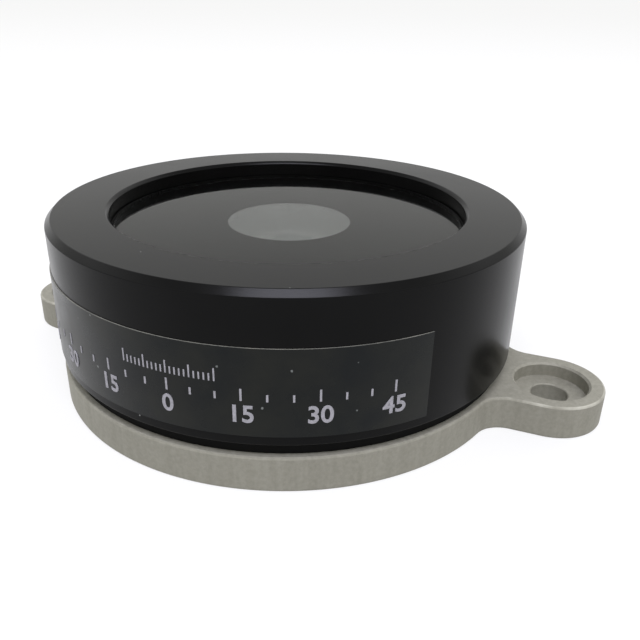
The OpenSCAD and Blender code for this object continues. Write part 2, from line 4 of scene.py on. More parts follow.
import bpy
from mathutils import Matrix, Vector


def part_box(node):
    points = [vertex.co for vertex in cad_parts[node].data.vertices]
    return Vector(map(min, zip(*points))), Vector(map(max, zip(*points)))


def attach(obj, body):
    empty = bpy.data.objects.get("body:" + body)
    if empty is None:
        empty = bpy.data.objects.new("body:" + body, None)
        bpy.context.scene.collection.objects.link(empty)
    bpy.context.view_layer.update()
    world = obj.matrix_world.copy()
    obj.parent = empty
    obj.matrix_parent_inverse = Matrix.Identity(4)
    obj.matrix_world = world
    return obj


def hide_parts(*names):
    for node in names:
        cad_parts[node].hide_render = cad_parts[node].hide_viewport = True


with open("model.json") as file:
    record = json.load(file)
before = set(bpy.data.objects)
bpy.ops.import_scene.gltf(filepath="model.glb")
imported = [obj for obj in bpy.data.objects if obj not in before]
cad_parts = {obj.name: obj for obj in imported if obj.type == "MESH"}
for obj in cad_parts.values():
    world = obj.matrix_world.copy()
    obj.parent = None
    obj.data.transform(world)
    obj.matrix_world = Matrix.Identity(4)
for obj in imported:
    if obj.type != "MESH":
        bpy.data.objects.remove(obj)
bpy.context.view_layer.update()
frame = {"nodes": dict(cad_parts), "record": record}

# Base plate: a flat round plate with two ears, milled from bare aluminium and bead blasted.
# Its ear holes take M4 screws with washers, and a raised ring on top centres the housing.
MM = 0.001


def box_mm(node_name):
    """Lowest and highest corner of a CAD node, in millimetres."""
    return [[value / MM for value in corner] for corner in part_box(node_name)]


def pick(piece):
    """Leaves one piece selected and active, so that operators act on it alone."""
    bpy.ops.object.select_all(action="DESELECT")
    piece.select_set(True)
    bpy.context.view_layer.objects.active = piece


def lathe(name, profile, steps=192, ring=False):
    """Turns a piece about Z by walking a circle along (radius, height) points in millimetres."""
    bpy.ops.object.select_all(action="DESELECT")
    bpy.ops.mesh.primitive_circle_add(vertices=steps, radius=profile[0][0] * MM)
    piece = bpy.context.object
    piece.name = name
    bpy.ops.object.mode_set(mode="EDIT")
    bpy.ops.mesh.select_all(action="SELECT")
    bpy.ops.transform.translate(value=(0, 0, profile[0][1] * MM))
    for (radius, height), (next_radius, next_height) in zip(profile, profile[1:]):
        rise = (next_height - height) * MM
        widen = next_radius / radius
        bpy.ops.mesh.extrude_edges_move(TRANSFORM_OT_translate={"value": (0, 0, rise)})
        bpy.ops.transform.resize(value=(widen, widen, 1), center_override=(0, 0, 0))
    if ring:
        bpy.ops.mesh.select_all(action="DESELECT")
        bpy.ops.mesh.select_non_manifold()
        bpy.ops.mesh.bridge_edge_loops()
    bpy.ops.mesh.select_all(action="SELECT")
    bpy.ops.mesh.fill_holes(sides=0)
    bpy.ops.mesh.normals_make_consistent(inside=False)
    bpy.ops.object.mode_set(mode="OBJECT")
    return piece


def eased(profile, by, ring=False):
    """Rounds off the corners of a profile by a small size, as deburring does."""
    rounded = []
    for i, (radius, height) in enumerate(profile):
        if not ring and i in (0, len(profile) - 1):
            rounded.append((radius, height))
            continue
        sides = []
        for other_radius, other_height in (profile[i - 1], profile[(i + 1) % len(profile)]):
            share = by / math.hypot(other_radius - radius, other_height - height)
            sides.append((
                radius + (other_radius - radius) * share, height + (other_height - height) * share
            ))
        middle = [(a + b) / 2 for a, b in zip(*sides)]
        pull = 2 - math.sqrt(2)
        rounded.append(sides[0])
        rounded.append((radius + (middle[0] - radius) * pull, height + (middle[1] - height) * pull))
        rounded.append(sides[1])
    return rounded


def moved(piece, x=0, y=0, z=0, lean=0, turn=0):
    """Leans a piece about X, turns it about Z, then sets it at a place in millimetres."""
    pick(piece)
    piece.matrix_world = (
        Matrix.Translation((x * MM, y * MM, z * MM))
        @ Matrix.Rotation(math.radians(turn), 4, "Z")
        @ Matrix.Rotation(math.radians(lean), 4, "X")
    )
    bpy.ops.object.transform_apply(location=True, rotation=True, scale=True)
    return piece


def combine(piece, other, how):
    """Joins another solid to a piece, or cuts it away, and clears the other one up."""
    pick(piece)
    boolean = piece.modifiers.new("boolean", "BOOLEAN")
    boolean.operation = how
    boolean.solver = "EXACT"
    boolean.object = other
    bpy.ops.object.modifier_apply(modifier=boolean.name)
    bpy.data.objects.remove(other)


def linear(colour):
    """An sRGB hex colour as linear values."""
    channels = [int(colour[i:i + 2], 16) / 255 for i in (1, 3, 5)]
    return [c / 12.92 if c <= 0.04045 else ((c + 0.055) / 1.055) ** 2.4 for c in channels] + [1]


def add_node(tree, kind, inputs=None, stops=(), **settings):
    """Adds a node with its settings, its colour stops, and its inputs as values or links."""
    made = tree.nodes.new("ShaderNode" + kind)
    for setting, value in settings.items():
        setattr(made, setting, value)
    for i, (place, colour) in enumerate(stops):
        ramp = made.color_ramp.elements
        stop = ramp[i] if i < 2 else ramp.new(place)
        stop.position = place
        stop.color = linear(colour)
    for socket, value in (inputs or {}).items():
        if isinstance(value, bpy.types.NodeSocket):
            tree.links.new(value, made.inputs[socket])
        else:
            made.inputs[socket].default_value = value
    return made


def blank_material(name):
    """An empty node material and its tree."""
    material = bpy.data.materials.new(name)
    material.use_nodes = True
    material.node_tree.nodes.clear()
    return material, material.node_tree


def grained(name, tones, grain, roughness, relief, metallic=0.0, specular=0.5, stretch=(1, 1, 1)):
    """A surface with a grain of a real size: two tones, a varying gloss and a fine relief."""
    material, tree = blank_material(name)
    place = add_node(tree, "TexCoord").outputs["Object"]
    place = add_node(tree, "Mapping", {"Vector": place, "Scale": stretch}).outputs[0]
    grains = add_node(tree, "TexNoise", {
        "Vector": place, "Scale": 1 / (grain * MM), "Detail": 3, "Roughness": 0.6
    }).outputs[0]
    tone = add_node(tree, "ValToRGB", {"Fac": grains}, [(0.35, tones[0]), (0.65, tones[1])])
    gloss = add_node(tree, "MapRange", {
        "Value": grains, "From Min": 0.3, "From Max": 0.7,
        "To Min": roughness[0], "To Max": roughness[1]
    })
    normal = add_node(tree, "Bump", {"Height": grains, "Strength": 0.5, "Distance": relief * MM})
    surface = add_node(tree, "BsdfPrincipled", {
        "Base Color": tone.outputs[0], "Roughness": gloss.outputs[0], "Normal": normal.outputs[0],
        "Metallic": metallic, "Specular IOR Level": specular
    })
    add_node(tree, "OutputMaterial", {"Surface": surface.outputs[0]})
    return material


def seat(piece, material, slot, *nodes):
    """Smooths round faces, keeps flat ones flat, gives the material, and sets it in the frame."""
    pick(piece)
    bpy.ops.object.shade_smooth_by_angle(angle=math.radians(20))
    flats = piece.modifiers.new("flats", "WEIGHTED_NORMAL")
    flats.keep_sharp = True
    bpy.ops.object.modifier_apply(modifier=flats.name)
    piece.data.materials.append(material)
    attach(piece, "root")
    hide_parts(*nodes)


plate_high = box_mm("base_plate")[1]
housing_low, housing_high = box_mm("sensor_housing")
base_t = box_mm("base_gasket")[0][2]
housing_r = housing_high[0]
mounts = {mount["name"]: mount["dims"] for mount in frame["record"]["mounts"]}
ear_x = mounts["ear_holes"]["spacing_x_mm"] / 2
ear_r = plate_high[0] - ear_x
mount_hole_r = mounts["ear_holes"]["hole_r_mm"]
mount_seat_r = 4.5
mount_seat_depth = 1.8
plate_edge = 0.25
overrun = 1

fillet_r = 3.5
fillet_steps = 24
ear_steps = 72
rim_steps = 104
fillet_y = ear_r + fillet_r
fillet_x = math.sqrt((housing_r + fillet_r) ** 2 - fillet_y ** 2)
neck_angle = math.degrees(math.asin(fillet_y / (housing_r + fillet_r)))

# The outline is drawn with one point, swung round the centre of each arc
bpy.ops.object.select_all(action="DESELECT")
bpy.ops.mesh.primitive_plane_add(size=MM)
plate = bpy.context.object
plate.name = "blasted_base_plate"
bpy.ops.object.mode_set(mode="EDIT")
bpy.ops.mesh.select_all(action="SELECT")
bpy.ops.mesh.merge(type="CENTER")
bpy.ops.transform.translate(value=(
    housing_r * math.cos(math.radians(neck_angle)) * MM,
    -housing_r * math.sin(math.radians(neck_angle)) * MM, 0
))


def swing(x, y, angle, steps):
    """Draws an arc round a centre in millimetres, counter-clockwise for a positive angle."""
    bpy.ops.mesh.spin(
        steps=steps, angle=-math.radians(angle), center=(x * MM, y * MM, 0), axis=(0, 0, 1)
    )


for side in (1, -1):
    step_x = side * (ear_x - fillet_x) * MM
    swing(side * fillet_x, -side * fillet_y, neck_angle - 90, fillet_steps)
    bpy.ops.mesh.extrude_vertices_move(TRANSFORM_OT_translate={"value": (step_x, 0, 0)})
    swing(side * ear_x, 0, 180, ear_steps)
    bpy.ops.mesh.extrude_vertices_move(TRANSFORM_OT_translate={"value": (-step_x, 0, 0)})
    swing(side * fillet_x, side * fillet_y, neck_angle - 90, fillet_steps)
    swing(0, 0, 180 - 2 * neck_angle, rim_steps)
bpy.ops.mesh.select_all(action="SELECT")
bpy.ops.mesh.remove_doubles(threshold=plate_edge * MM / 10)
bpy.ops.mesh.edge_face_add()
bpy.ops.mesh.extrude_region_move(TRANSFORM_OT_translate={"value": (0, 0, base_t * MM)})
bpy.ops.mesh.select_all(action="SELECT")
bpy.ops.mesh.normals_make_consistent(inside=False)
bpy.ops.mesh.select_mode(type="EDGE")
bpy.ops.mesh.select_all(action="DESELECT")
bpy.ops.mesh.edges_select_sharp(sharpness=math.radians(60))
bpy.ops.mesh.bevel(offset=plate_edge * MM, segments=2, affect="EDGES")
bpy.ops.mesh.select_mode(type="VERT")
bpy.ops.object.mode_set(mode="OBJECT")

# The ring stands inside the housing, with a little air round it
spigot_r = 23.8
spigot_wall = 2.3
spigot = lathe("centring_ring", eased([
    (spigot_r, base_t - plate_edge), (spigot_r, plate_high[2]),
    (spigot_r - spigot_wall, plate_high[2]), (spigot_r - spigot_wall, base_t - plate_edge)
], plate_edge / 2, ring=True), ring=True)
combine(plate, spigot, "UNION")

# Each cutter flares where it leaves the plate, so that every hole has a small broken edge
flare = plate_edge + overrun
for side in (-1, 1):
    spot_face = lathe("spot_face_cutter", [
        (mount_seat_r, base_t - mount_seat_depth), (mount_seat_r, base_t - plate_edge),
        (mount_seat_r + flare, base_t + overrun)
    ], steps=96)
    combine(plate, moved(spot_face, side * ear_x), "DIFFERENCE")
    drill = lathe("mount_hole_cutter", [
        (mount_hole_r + flare, -overrun), (mount_hole_r, plate_edge),
        (mount_hole_r, base_t - mount_seat_depth - plate_edge / 2),
        (mount_hole_r + flare, base_t - mount_seat_depth - plate_edge / 2 + flare)
    ], steps=96)
    combine(plate, moved(drill, side * ear_x), "DIFFERENCE")

screw_low, screw_high = box_mm("base_screws")
screw_head_r = 2.35
screw_circle_r = (screw_high[0] - screw_head_r) * math.sqrt(2)
screw_sink = screw_low[2]
screw_head_h = 1.4
screw_r = 1.25
screw_gap = 0.2
screw_places = [
    (side * screw_circle_r / math.sqrt(2), edge * screw_circle_r / math.sqrt(2))
    for side in (-1, 1) for edge in (-1, 1)
]
for x, y in screw_places:
    sink = lathe("countersink_cutter", [
        (screw_head_r + screw_gap, -overrun), (screw_head_r + screw_gap, screw_sink),
        (screw_r + screw_gap, screw_sink + screw_head_h), (screw_r + screw_gap, base_t + overrun)
    ], steps=64)
    combine(plate, moved(sink, x, y), "DIFFERENCE")

# Bead-blasted aluminium: a matt warm grey with a fine even grain, and faint upright mill
# marks left on its sides. The grain is drawn at 0.45 mm, coarser than the real 0.1 mm, so
# that it shows.
blasted, tree = blank_material("bead_blasted_aluminium")
place = add_node(tree, "TexCoord").outputs["Object"]
beads = add_node(tree, "TexNoise", {
    "Vector": place, "Scale": 1 / (0.45 * MM), "Detail": 4, "Roughness": 0.65
}).outputs[0]
upright = add_node(tree, "Mapping", {"Vector": place, "Scale": (1, 1, 0.08)}).outputs[0]
mill_marks = add_node(tree, "TexNoise", {
    "Vector": upright, "Scale": 1 / (0.7 * MM), "Detail": 2, "Roughness": 0.5
}).outputs[0]
faint = add_node(tree, "Math", {0: mill_marks, 1: 0.4}, operation="MULTIPLY").outputs[0]
both = add_node(tree, "Math", {0: beads, 1: faint}, operation="ADD").outputs[0]
tone = add_node(tree, "MapRange", {"Value": both, "From Min": 0.5, "From Max": 0.9}).outputs[0]
colour = add_node(tree, "ValToRGB", {"Fac": tone}, [(0, "#87857a"), (1, "#98968b")]).outputs[0]
gloss = add_node(tree, "MapRange", {
    "Value": beads, "From Min": 0.3, "From Max": 0.7, "To Min": 0.62, "To Max": 0.75
}).outputs[0]
relief = add_node(tree, "Bump", {
    "Height": beads, "Strength": 0.35, "Distance": 0.05 * MM
}).outputs[0]
surface = add_node(tree, "BsdfPrincipled", {
    "Base Color": colour, "Roughness": gloss, "Normal": relief, "Metallic": 0.45
})
add_node(tree, "OutputMaterial", {"Surface": surface.outputs[0]})
seat(plate, blasted, "base_aluminium", "base_plate")

# Ear edge: the ears' broken top edge, slightly smoother metal, paler in patches as a painted
# highlight
painted_highlight_edge = grained(
    "painted_highlight_aluminium_edge", ("#918f84", "#bbb9ae"),
    grain=3, roughness=(0.45, 0.6), relief=0.01, metallic=0.5
)
plate.data.materials.append(painted_highlight_edge)
# Painted highlight: the ears' upward-tilted bevel faces along the top edge take the paler metal
for face in plate.data.polygons:
    x, y, z = [value / MM for value in face.center]
    outer = math.hypot(x, y) > housing_r + overrun
    outer = outer and math.hypot(abs(x) - ear_x, y) > mount_seat_r + 2 * plate_edge
    if outer and z > base_t - plate_edge and 0.1 < face.normal.z < 0.95:
        face.material_index = 1

# Base gasket: a flat ring of black rubber, clamped between the plate and the housing.
# It is set back from both, so the housing seems to float on a dark line.
gasket_low, gasket_high = box_mm("base_gasket")
bore_r = 24
gasket_edge = 0.15
gasket = lathe("base_gasket_ring", eased([
    (gasket_high[0], gasket_low[2]), (gasket_high[0], gasket_high[2]),
    (bore_r, gasket_high[2]), (bore_r, gasket_low[2])
], gasket_edge, ring=True), ring=True)
# Moulded rubber: dull black, slightly cloudy, with a soft grain
rubber = grained(
    "moulded_black_rubber", ("#070707", "#0b0b0a"),
    grain=0.4, roughness=(0.7, 0.85), relief=0.02, specular=0.1
)
seat(gasket, rubber, "black_rubber", "base_gasket")

# Sensor housing: turned from an aluminium bar, chamfered at the rim and black anodised.
# A recess in its top holds the window, and a flat is milled at its back for the connector.
window_low, window_high = box_mm("window_glass")
recess_r = box_mm("window_bead")[1][0]
ledge_z = box_mm("window_gasket")[0][2]
ledge_r = 19.5
ledge_t = 1.7
top_z = housing_high[2]
foot_z = housing_low[2]
housing_chamfer = 0.7
foot_chamfer = 0.3
rim_chamfer = 0.4
housing_edge = 0.06
housing = lathe("turned_housing", eased([
    (bore_r, foot_z), (housing_r - foot_chamfer, foot_z), (housing_r, foot_z + foot_chamfer),
    (housing_r, top_z - housing_chamfer), (housing_r - housing_chamfer, top_z),
    (recess_r + rim_chamfer, top_z), (recess_r, top_z - rim_chamfer),
    (recess_r, ledge_z), (ledge_r, ledge_z), (ledge_r, ledge_z - ledge_t),
    (bore_r, ledge_z - ledge_t)
], housing_edge, ring=True), steps=256, ring=True)

seal_low, seal_high = box_mm("connector_seal")
shell_low, shell_high = box_mm("connector_shell")
thread_r = mounts["output_thread"]["r_mm"]
flange_r = shell_high[0]
connector_z = (shell_low[2] + shell_high[2]) / 2
seat_y = seal_low[1]
seat_gap = 0.2
hole_gap = 0.05
seat_cut = lathe("connector_flat_cutter", [
    (flange_r + seat_gap, seat_y), (flange_r + seat_gap, housing_r + overrun)
], steps=128)
combine(housing, moved(seat_cut, z=connector_z, lean=-90), "DIFFERENCE")
wall_cut = lathe("connector_hole_cutter", [
    (thread_r + hole_gap, bore_r - overrun), (thread_r + hole_gap, housing_r + overrun)
], steps=96)
combine(housing, moved(wall_cut, z=connector_z, lean=-90), "DIFFERENCE")


def specked(tree, place, colour, spacing, radius, share, pale):
    """Scatters pale specks of a real size over a colour, in a share of cells of the spacing."""
    ragged = add_node(tree, "TexNoise", {"Vector": place, "Scale": 1 / (0.3 * MM)})
    place = add_node(tree, "VectorMath", {
        0: ragged.outputs["Color"], 1: [2 * radius * MM] * 3, 2: place
    }, operation="MULTIPLY_ADD").outputs[0]
    cells = add_node(tree, "TexVoronoi", {"Vector": place, "Scale": 1 / (spacing * MM)}).outputs
    speck = add_node(tree, "MapRange", {
        "Value": cells["Distance"],
        "From Min": radius / spacing, "From Max": 1.5 * radius / spacing,
        "To Min": 1, "To Max": 0
    }).outputs[0]
    chance = add_node(tree, "SeparateColor", {0: cells["Color"]}).outputs[0]
    chosen = add_node(tree, "Math", {0: chance, 1: share}, operation="LESS_THAN").outputs[0]
    there = add_node(tree, "Math", {0: speck, 1: chosen}, operation="MULTIPLY").outputs[0]
    return add_node(tree, "Mix", {
        0: there, 6: colour, 7: linear(pale)
    }, data_type="RGBA").outputs[2]


# Black anodised aluminium, turned: near black with a satin gloss that comes up at low
# angles, and fine lathe lines that run round it. The lines are drawn 0.2 mm apart, twice
# the real feed, so that they show, and a few pale dust specks lie on it.
anodised, tree = blank_material("turned_black_anodised_aluminium")
place = add_node(tree, "TexCoord").outputs["Object"]
flat_place = add_node(tree, "Mapping", {"Vector": place, "Scale": (1, 1, 0)}).outputs[0]
reach = add_node(tree, "VectorMath", {0: flat_place}, operation="LENGTH").outputs["Value"]
height = add_node(tree, "SeparateXYZ", {0: place}).outputs["Z"]
along = add_node(tree, "Math", {0: reach, 1: height}, operation="ADD").outputs[0]
lines = add_node(tree, "TexNoise", {
    "W": along, "Scale": 1 / (0.2 * MM), "Detail": 2
}, noise_dimensions="1D").outputs[0]
clouds = add_node(tree, "TexNoise", {
    "Vector": place, "Scale": 1 / (9 * MM), "Detail": 3
}).outputs[0]
colour = add_node(tree, "ValToRGB", {
    "Fac": clouds
}, [(0.3, "#040404"), (0.7, "#080808")]).outputs[0]
colour = specked(tree, place, colour, spacing=2, radius=0.09, share=0.05, pale="#8d8f8c")
gloss = add_node(tree, "MapRange", {
    "Value": clouds, "From Min": 0.3, "From Max": 0.7, "To Min": 0.21, "To Max": 0.27
}).outputs[0]
relief = add_node(tree, "Bump", {
    "Height": lines, "Strength": 0.12, "Distance": 0.01 * MM
}).outputs[0]
surface = add_node(tree, "BsdfPrincipled", {
    "Base Color": colour, "Roughness": gloss, "Normal": relief, "Specular IOR Level": 0.1
})
add_node(tree, "OutputMaterial", {"Surface": surface.outputs[0]})
seat(housing, anodised, "black_anodised", "sensor_housing")

# Base screws: four countersunk stainless screws with hexagonal sockets, put in from beneath.
# Their heads lie just below the underside, and their threads are hidden in the housing.
socket_w = 1.5
socket_r = socket_w / math.sqrt(3)
socket_depth = 0.9
screw_edge = 0.12
screw_turn = 25
screw = lathe("screw_pattern", [
    (screw_head_r - screw_edge, screw_sink), (screw_head_r, screw_sink + screw_edge),
    (screw_r, screw_sink + screw_head_h), (screw_r, screw_high[2] - 2 * screw_edge),
    (screw_r - 2 * screw_edge, screw_high[2])
], steps=64)
socket_cut = lathe("socket_cutter", [
    (socket_r, screw_sink + socket_depth), (socket_r, screw_sink + screw_edge),
    (socket_r + flare, screw_sink + screw_edge - flare)
], steps=6)
combine(screw, socket_cut, "DIFFERENCE")
# Stainless steel, machined: a clean mid grey with a soft shine and faint tool lines
steel = grained(
    "machined_stainless_steel", ("#a6a7a9", "#bdbdbe"),
    grain=0.3, roughness=(0.25, 0.38), relief=0.01, metallic=1, stretch=(1, 1, 0.2)
)


def duplicate(pattern, name):
    """Another of a piece that is fitted more than once."""
    copy = pattern.copy()
    copy.data = pattern.data.copy()
    copy.name = name
    bpy.context.collection.objects.link(copy)
    return copy


for i, (x, y) in enumerate(screw_places):
    copy = duplicate(screw, f"base_screw_{i + 1}")
    seat(moved(copy, x, y, turn=i * screw_turn), steel, "steel_screws", "base_screws")
bpy.data.objects.remove(screw)

# Window: a round pane of polished glass, set in the recess on a rubber ring.
# Its underside is printed black all over but for the clear spot in the middle.
pane_edge = 0.1
clear_r = 8
window_r = window_high[0]
pane = lathe("window_pane", [
    (clear_r, window_low[2]), (window_r - pane_edge, window_low[2]),
    (window_r, window_low[2] + pane_edge), (window_r, window_high[2] - pane_edge),
    (window_r - pane_edge, window_high[2])
], steps=256)
# Coated float glass: polished and clear, with a sharp reflection that grows at low angles but
# stays about half of bare glass's, as the coating gives, and the faint haze of handling
glass, tree = blank_material("coated_float_glass")
place = add_node(tree, "TexCoord").outputs["Object"]
haze = add_node(tree, "TexNoise", {"Vector": place, "Scale": 1 / (6 * MM), "Detail": 4}).outputs[0]
gloss = add_node(tree, "MapRange", {
    "Value": haze, "From Min": 0.4, "From Max": 0.7, "To Min": 0.02, "To Max": 0.06
}).outputs[0]
surface = add_node(tree, "BsdfPrincipled", {
    "Base Color": linear("#f4f8f6"), "Roughness": gloss, "IOR": 1.23, "Transmission Weight": 1
})
add_node(tree, "OutputMaterial", {"Surface": surface.outputs[0]})
seat(pane, glass, "window_glass", "window_glass")
# Baked ink bonded to the glass: flat black, without a shine of its own
ink = grained(
    "baked_black_ink", ("#060606", "#090909"),
    grain=0.5, roughness=(0.8, 0.95), relief=0.005, specular=0
)
pane.data.materials.append(ink)
for face in pane.data.polygons:
    if face.normal.z < -0.99 and math.hypot(*face.center[:2]) > clear_r * MM:
        face.material_index = 1

# Mask: the body of that black print, a thin ring under the glass, which stops the light
# everywhere but in the clear spot. A hair of air keeps its face off the pane's.
mask_low, mask_high = box_mm("window_mask")
film_gap = 0.01
mask = lathe("printed_mask", [
    (window_r, mask_low[2]), (window_r, mask_high[2] - film_gap),
    (clear_r, mask_high[2] - film_gap), (clear_r, mask_low[2])
], ring=True)
seat(mask, ink, "mask_black", "window_mask")

# Filter disc: a grey glass disc bonded under the clear spot, which dims the sun for the sensor.
# The round sensor package shows through it as a faint lighter edge.
filter_low, filter_high = box_mm("filter_disc")
filter_edge = 0.1
filter_disc = lathe("grey_filter", eased([
    (clear_r / 2, filter_low[2]), (filter_high[0], filter_low[2]),
    (filter_high[0], filter_high[2] - film_gap), (clear_r / 2, filter_high[2] - film_gap)
], filter_edge), steps=128)
# Grey filter glass: dark and smooth, half seen through at each face
filter_glass, tree = blank_material("grey_filter_glass")
place = add_node(tree, "TexCoord").outputs["Object"]
seed = add_node(tree, "TexNoise", {"Vector": place, "Scale": 1 / (3 * MM), "Detail": 2}).outputs[0]
colour = add_node(tree, "ValToRGB", {"Fac": seed}, [(0.3, "#1d1f1f"), (0.7, "#222424")]).outputs[0]
surface = add_node(tree, "BsdfPrincipled", {
    "Base Color": colour, "Roughness": 0.3, "Specular IOR Level": 0.05, "Alpha": 0.5
})
add_node(tree, "OutputMaterial", {"Surface": surface.outputs[0]})
seat(filter_disc, filter_glass, "filter_glass", "filter_disc")

# Window seals: a flat rubber ring under the glass and a bead of black sealant round its edge.
# The bead is wiped down a little below the glass and keeps the water out.
bead_low, bead_high = box_mm("window_bead")
bead_dip = 0.08
bead = lathe("sealant_bead", [
    (window_r, bead_low[2]), (recess_r, bead_low[2]), (recess_r, bead_high[2]),
    ((recess_r + window_r) / 2, bead_high[2] - bead_dip), (window_r, bead_high[2])
], ring=True)
seat(bead, rubber, "black_rubber", "window_bead")


def dress(material, *nodes):
    """Gives CAD nodes, whose shapes stay, their material."""
    for name in nodes:
        for slot in frame["nodes"][name].material_slots:
            slot.material = material


dress(rubber, "window_gasket", "connector_seal")

# Label: a strip of black polyester film stuck round the front of the housing.
# It carries a plain angle scale in pale print, and its cut edge shows a grey core, pale partly as a
# painted highlight.
label_low, label_high = box_mm("label")
label_angle = 106
film_t = 0.14
film_mid_r = housing_r + film_t / 2
film_steps = 144
label_mid_z = (label_low[2] + label_high[2]) / 2
bpy.ops.object.select_all(action="DESELECT")
bpy.ops.mesh.primitive_plane_add(size=MM)
film = bpy.context.object
film.name = "label_film"
bpy.ops.object.mode_set(mode="EDIT")
bpy.ops.mesh.select_all(action="SELECT")
bpy.ops.transform.resize(value=(film_t, label_high[2] - label_low[2], 1), center_override=(0, 0, 0))
bpy.ops.object.mode_set(mode="OBJECT")
moved(film, lean=90)
moved(film, x=film_mid_r, z=label_mid_z)
moved(film, turn=-90 - label_angle / 2)
bpy.ops.object.mode_set(mode="EDIT")
bpy.ops.mesh.select_all(action="SELECT")
bpy.ops.mesh.spin(
    steps=film_steps, angle=-math.radians(label_angle), center=(0, 0, 0), axis=(0, 0, 1)
)
bpy.ops.mesh.select_all(action="SELECT")
bpy.ops.mesh.remove_doubles(threshold=film_t * MM / 100)
bpy.ops.mesh.normals_make_consistent(inside=False)
bpy.ops.object.mode_set(mode="OBJECT")

# Black polyester film: a slightly glossy blue-black, paler than the housing, with a few
# rubbed specks about a quarter of a millimetre wide
film_black, tree = blank_material("black_polyester_film")
place = add_node(tree, "TexCoord").outputs["Object"]
cloud = add_node(tree, "TexNoise", {"Vector": place, "Scale": 1 / (5 * MM), "Detail": 4}).outputs[0]
colour = add_node(tree, "ValToRGB", {
    "Fac": cloud
}, [(0.35, "#0f1213"), (0.65, "#1a1b18")]).outputs[0]
colour = specked(tree, place, colour, spacing=1.4, radius=0.12, share=0.13, pale="#6f7271")
gloss = add_node(tree, "MapRange", {
    "Value": cloud, "From Min": 0.3, "From Max": 0.7, "To Min": 0.22, "To Max": 0.34
}).outputs[0]
surface = add_node(tree, "BsdfPrincipled", {
    "Base Color": colour, "Roughness": gloss, "IOR": 1.45, "Specular IOR Level": 0.38,
    "Specular Tint": linear("#b0b0b0")
})
add_node(tree, "OutputMaterial", {"Surface": surface.outputs[0]})
seat(film, film_black, "label_film", "label")
# Film core: the mid grey cut edge of the strip, half matt and slightly uneven. Its paleness is
# partly the film's core and partly a painted highlight for the lit top edge
core_and_painted_highlight = grained(
    "cut_film_edge_and_painted_highlight", ("#6a6a65", "#828179"),
    grain=1.5, roughness=(0.4, 0.6), relief=0.005
)
film.data.materials.append(core_and_painted_highlight)
# The cut edges take the pale grey, partly the film's core and partly a painted highlight
for face in film.data.polygons:
    outward = math.hypot(*face.normal[:2])
    straight = abs(face.normal.x * face.center.x + face.normal.y * face.center.y)
    if outward < 0.5 or straight < 0.5 * math.hypot(*face.center[:2]):
        face.material_index = 1

# Scale: tick marks and plain numbers screen printed on the film.
# The numbers count degrees both ways from the middle, and a finer row of ticks stands above.
print_sink = 0.02
print_low_r = housing_r + film_t - print_sink
print_high_r = housing_r + 0.19
print_t = print_high_r - print_low_r
number_z = 8.7
number_size = 2.75
number_weight = 0.05
weld = 0.0005
coarse_step, coarse_w = 5, 0.22
coarse_z, coarse_top_z, coarse_tall_z = 11.15, 11.95, 12.5
fine_w = 0.16
fine_z, fine_top_z, fine_tall_z = 13.1, 13.9, 14.5
number_step = 15
marks = []


def slab(low, high):
    """A block between two corners in millimetres."""
    bpy.ops.object.select_all(action="DESELECT")
    middle = [(a + b) / 2 * MM for a, b in zip(low, high)]
    size = [(b - a) * MM for a, b in zip(low, high)]
    bpy.ops.mesh.primitive_cube_add(size=1, location=middle, scale=size)
    bpy.ops.object.transform_apply(location=True, rotation=True, scale=True)
    return bpy.context.object


def tick(angle, low_z, high_z, width):
    """One printed line across the scale, at an angle from the label's middle."""
    line = slab((-width / 2, -print_high_r, low_z), (width / 2, -print_low_r, high_z))
    marks.append(moved(line, turn=angle))


for step in range(-9, 10):
    tick(coarse_step * step, coarse_z, coarse_top_z if step % 3 else coarse_tall_z, coarse_w)
for step in range(-10, 11):
    tick(step, fine_z, fine_top_z if step % 5 else fine_tall_z, fine_w)
for step in range(-3, 4):
    bpy.ops.object.select_all(action="DESELECT")
    bpy.ops.object.text_add()
    number = bpy.context.object
    number.data.body = str(abs(number_step * step))
    number.data.align_x = "CENTER"
    number.data.size = number_size * MM
    number.data.extrude = print_t / 2 * MM
    number.data.offset = number_weight * MM
    bpy.ops.object.convert(target="MESH")
    number = bpy.context.object
    moved(number, y=-(print_low_r + print_high_r) / 2, z=number_z, lean=90)
    marks.append(moved(number, turn=number_step * step))
bpy.ops.object.select_all(action="DESELECT")
for mark in marks:
    mark.select_set(True)
bpy.context.view_layer.objects.active = marks[0]
bpy.ops.object.join()
scale = bpy.context.object
scale.name = "printed_scale"
bpy.ops.object.mode_set(mode="EDIT")
bpy.ops.mesh.select_all(action="SELECT")
bpy.ops.mesh.remove_doubles(threshold=weld * MM)
bpy.ops.mesh.normals_make_consistent(inside=False)
bpy.ops.object.mode_set(mode="OBJECT")
# Screen ink: pale violet grey, matt, a little thin in places
pale_ink = grained(
    "pale_screen_ink", ("#8e8d92", "#a2a0a7"),
    grain=0.3, roughness=(0.5, 0.7), relief=0.005
)
seat(scale, pale_ink, "label_film")

# Connector shell: turned from brass and nickel plated, with a hexagonal flange and a round
# thread outside for the cable's nut. It is screwed through the wall and sealed by a washer.
mouth_y = shell_high[1]
flange_y = seal_high[1]
flange_t = 2.5
shell_bore_r = 3
thread_depth = 0.61
root_r = thread_r - thread_depth
root_overlap = 0.1
pitch = 1
shell_edge = 0.2
corner_w = 0.6
corner_h = 0.35
shell = lathe("connector_shell_body", [
    (root_r, shell_low[1]), (root_r, mouth_y - shell_edge), (root_r - shell_edge, mouth_y),
    (shell_bore_r + shell_edge / 2, mouth_y), (shell_bore_r, mouth_y - shell_edge / 2),
    (shell_bore_r, shell_low[1])
], steps=96, ring=True)
shank = lathe("shank", [
    (thread_r, shell_low[1]), (thread_r, flange_y + flange_t / 2),
    (shell_bore_r, flange_y + flange_t / 2), (shell_bore_r, shell_low[1])
], steps=96, ring=True)
combine(shell, shank, "UNION")
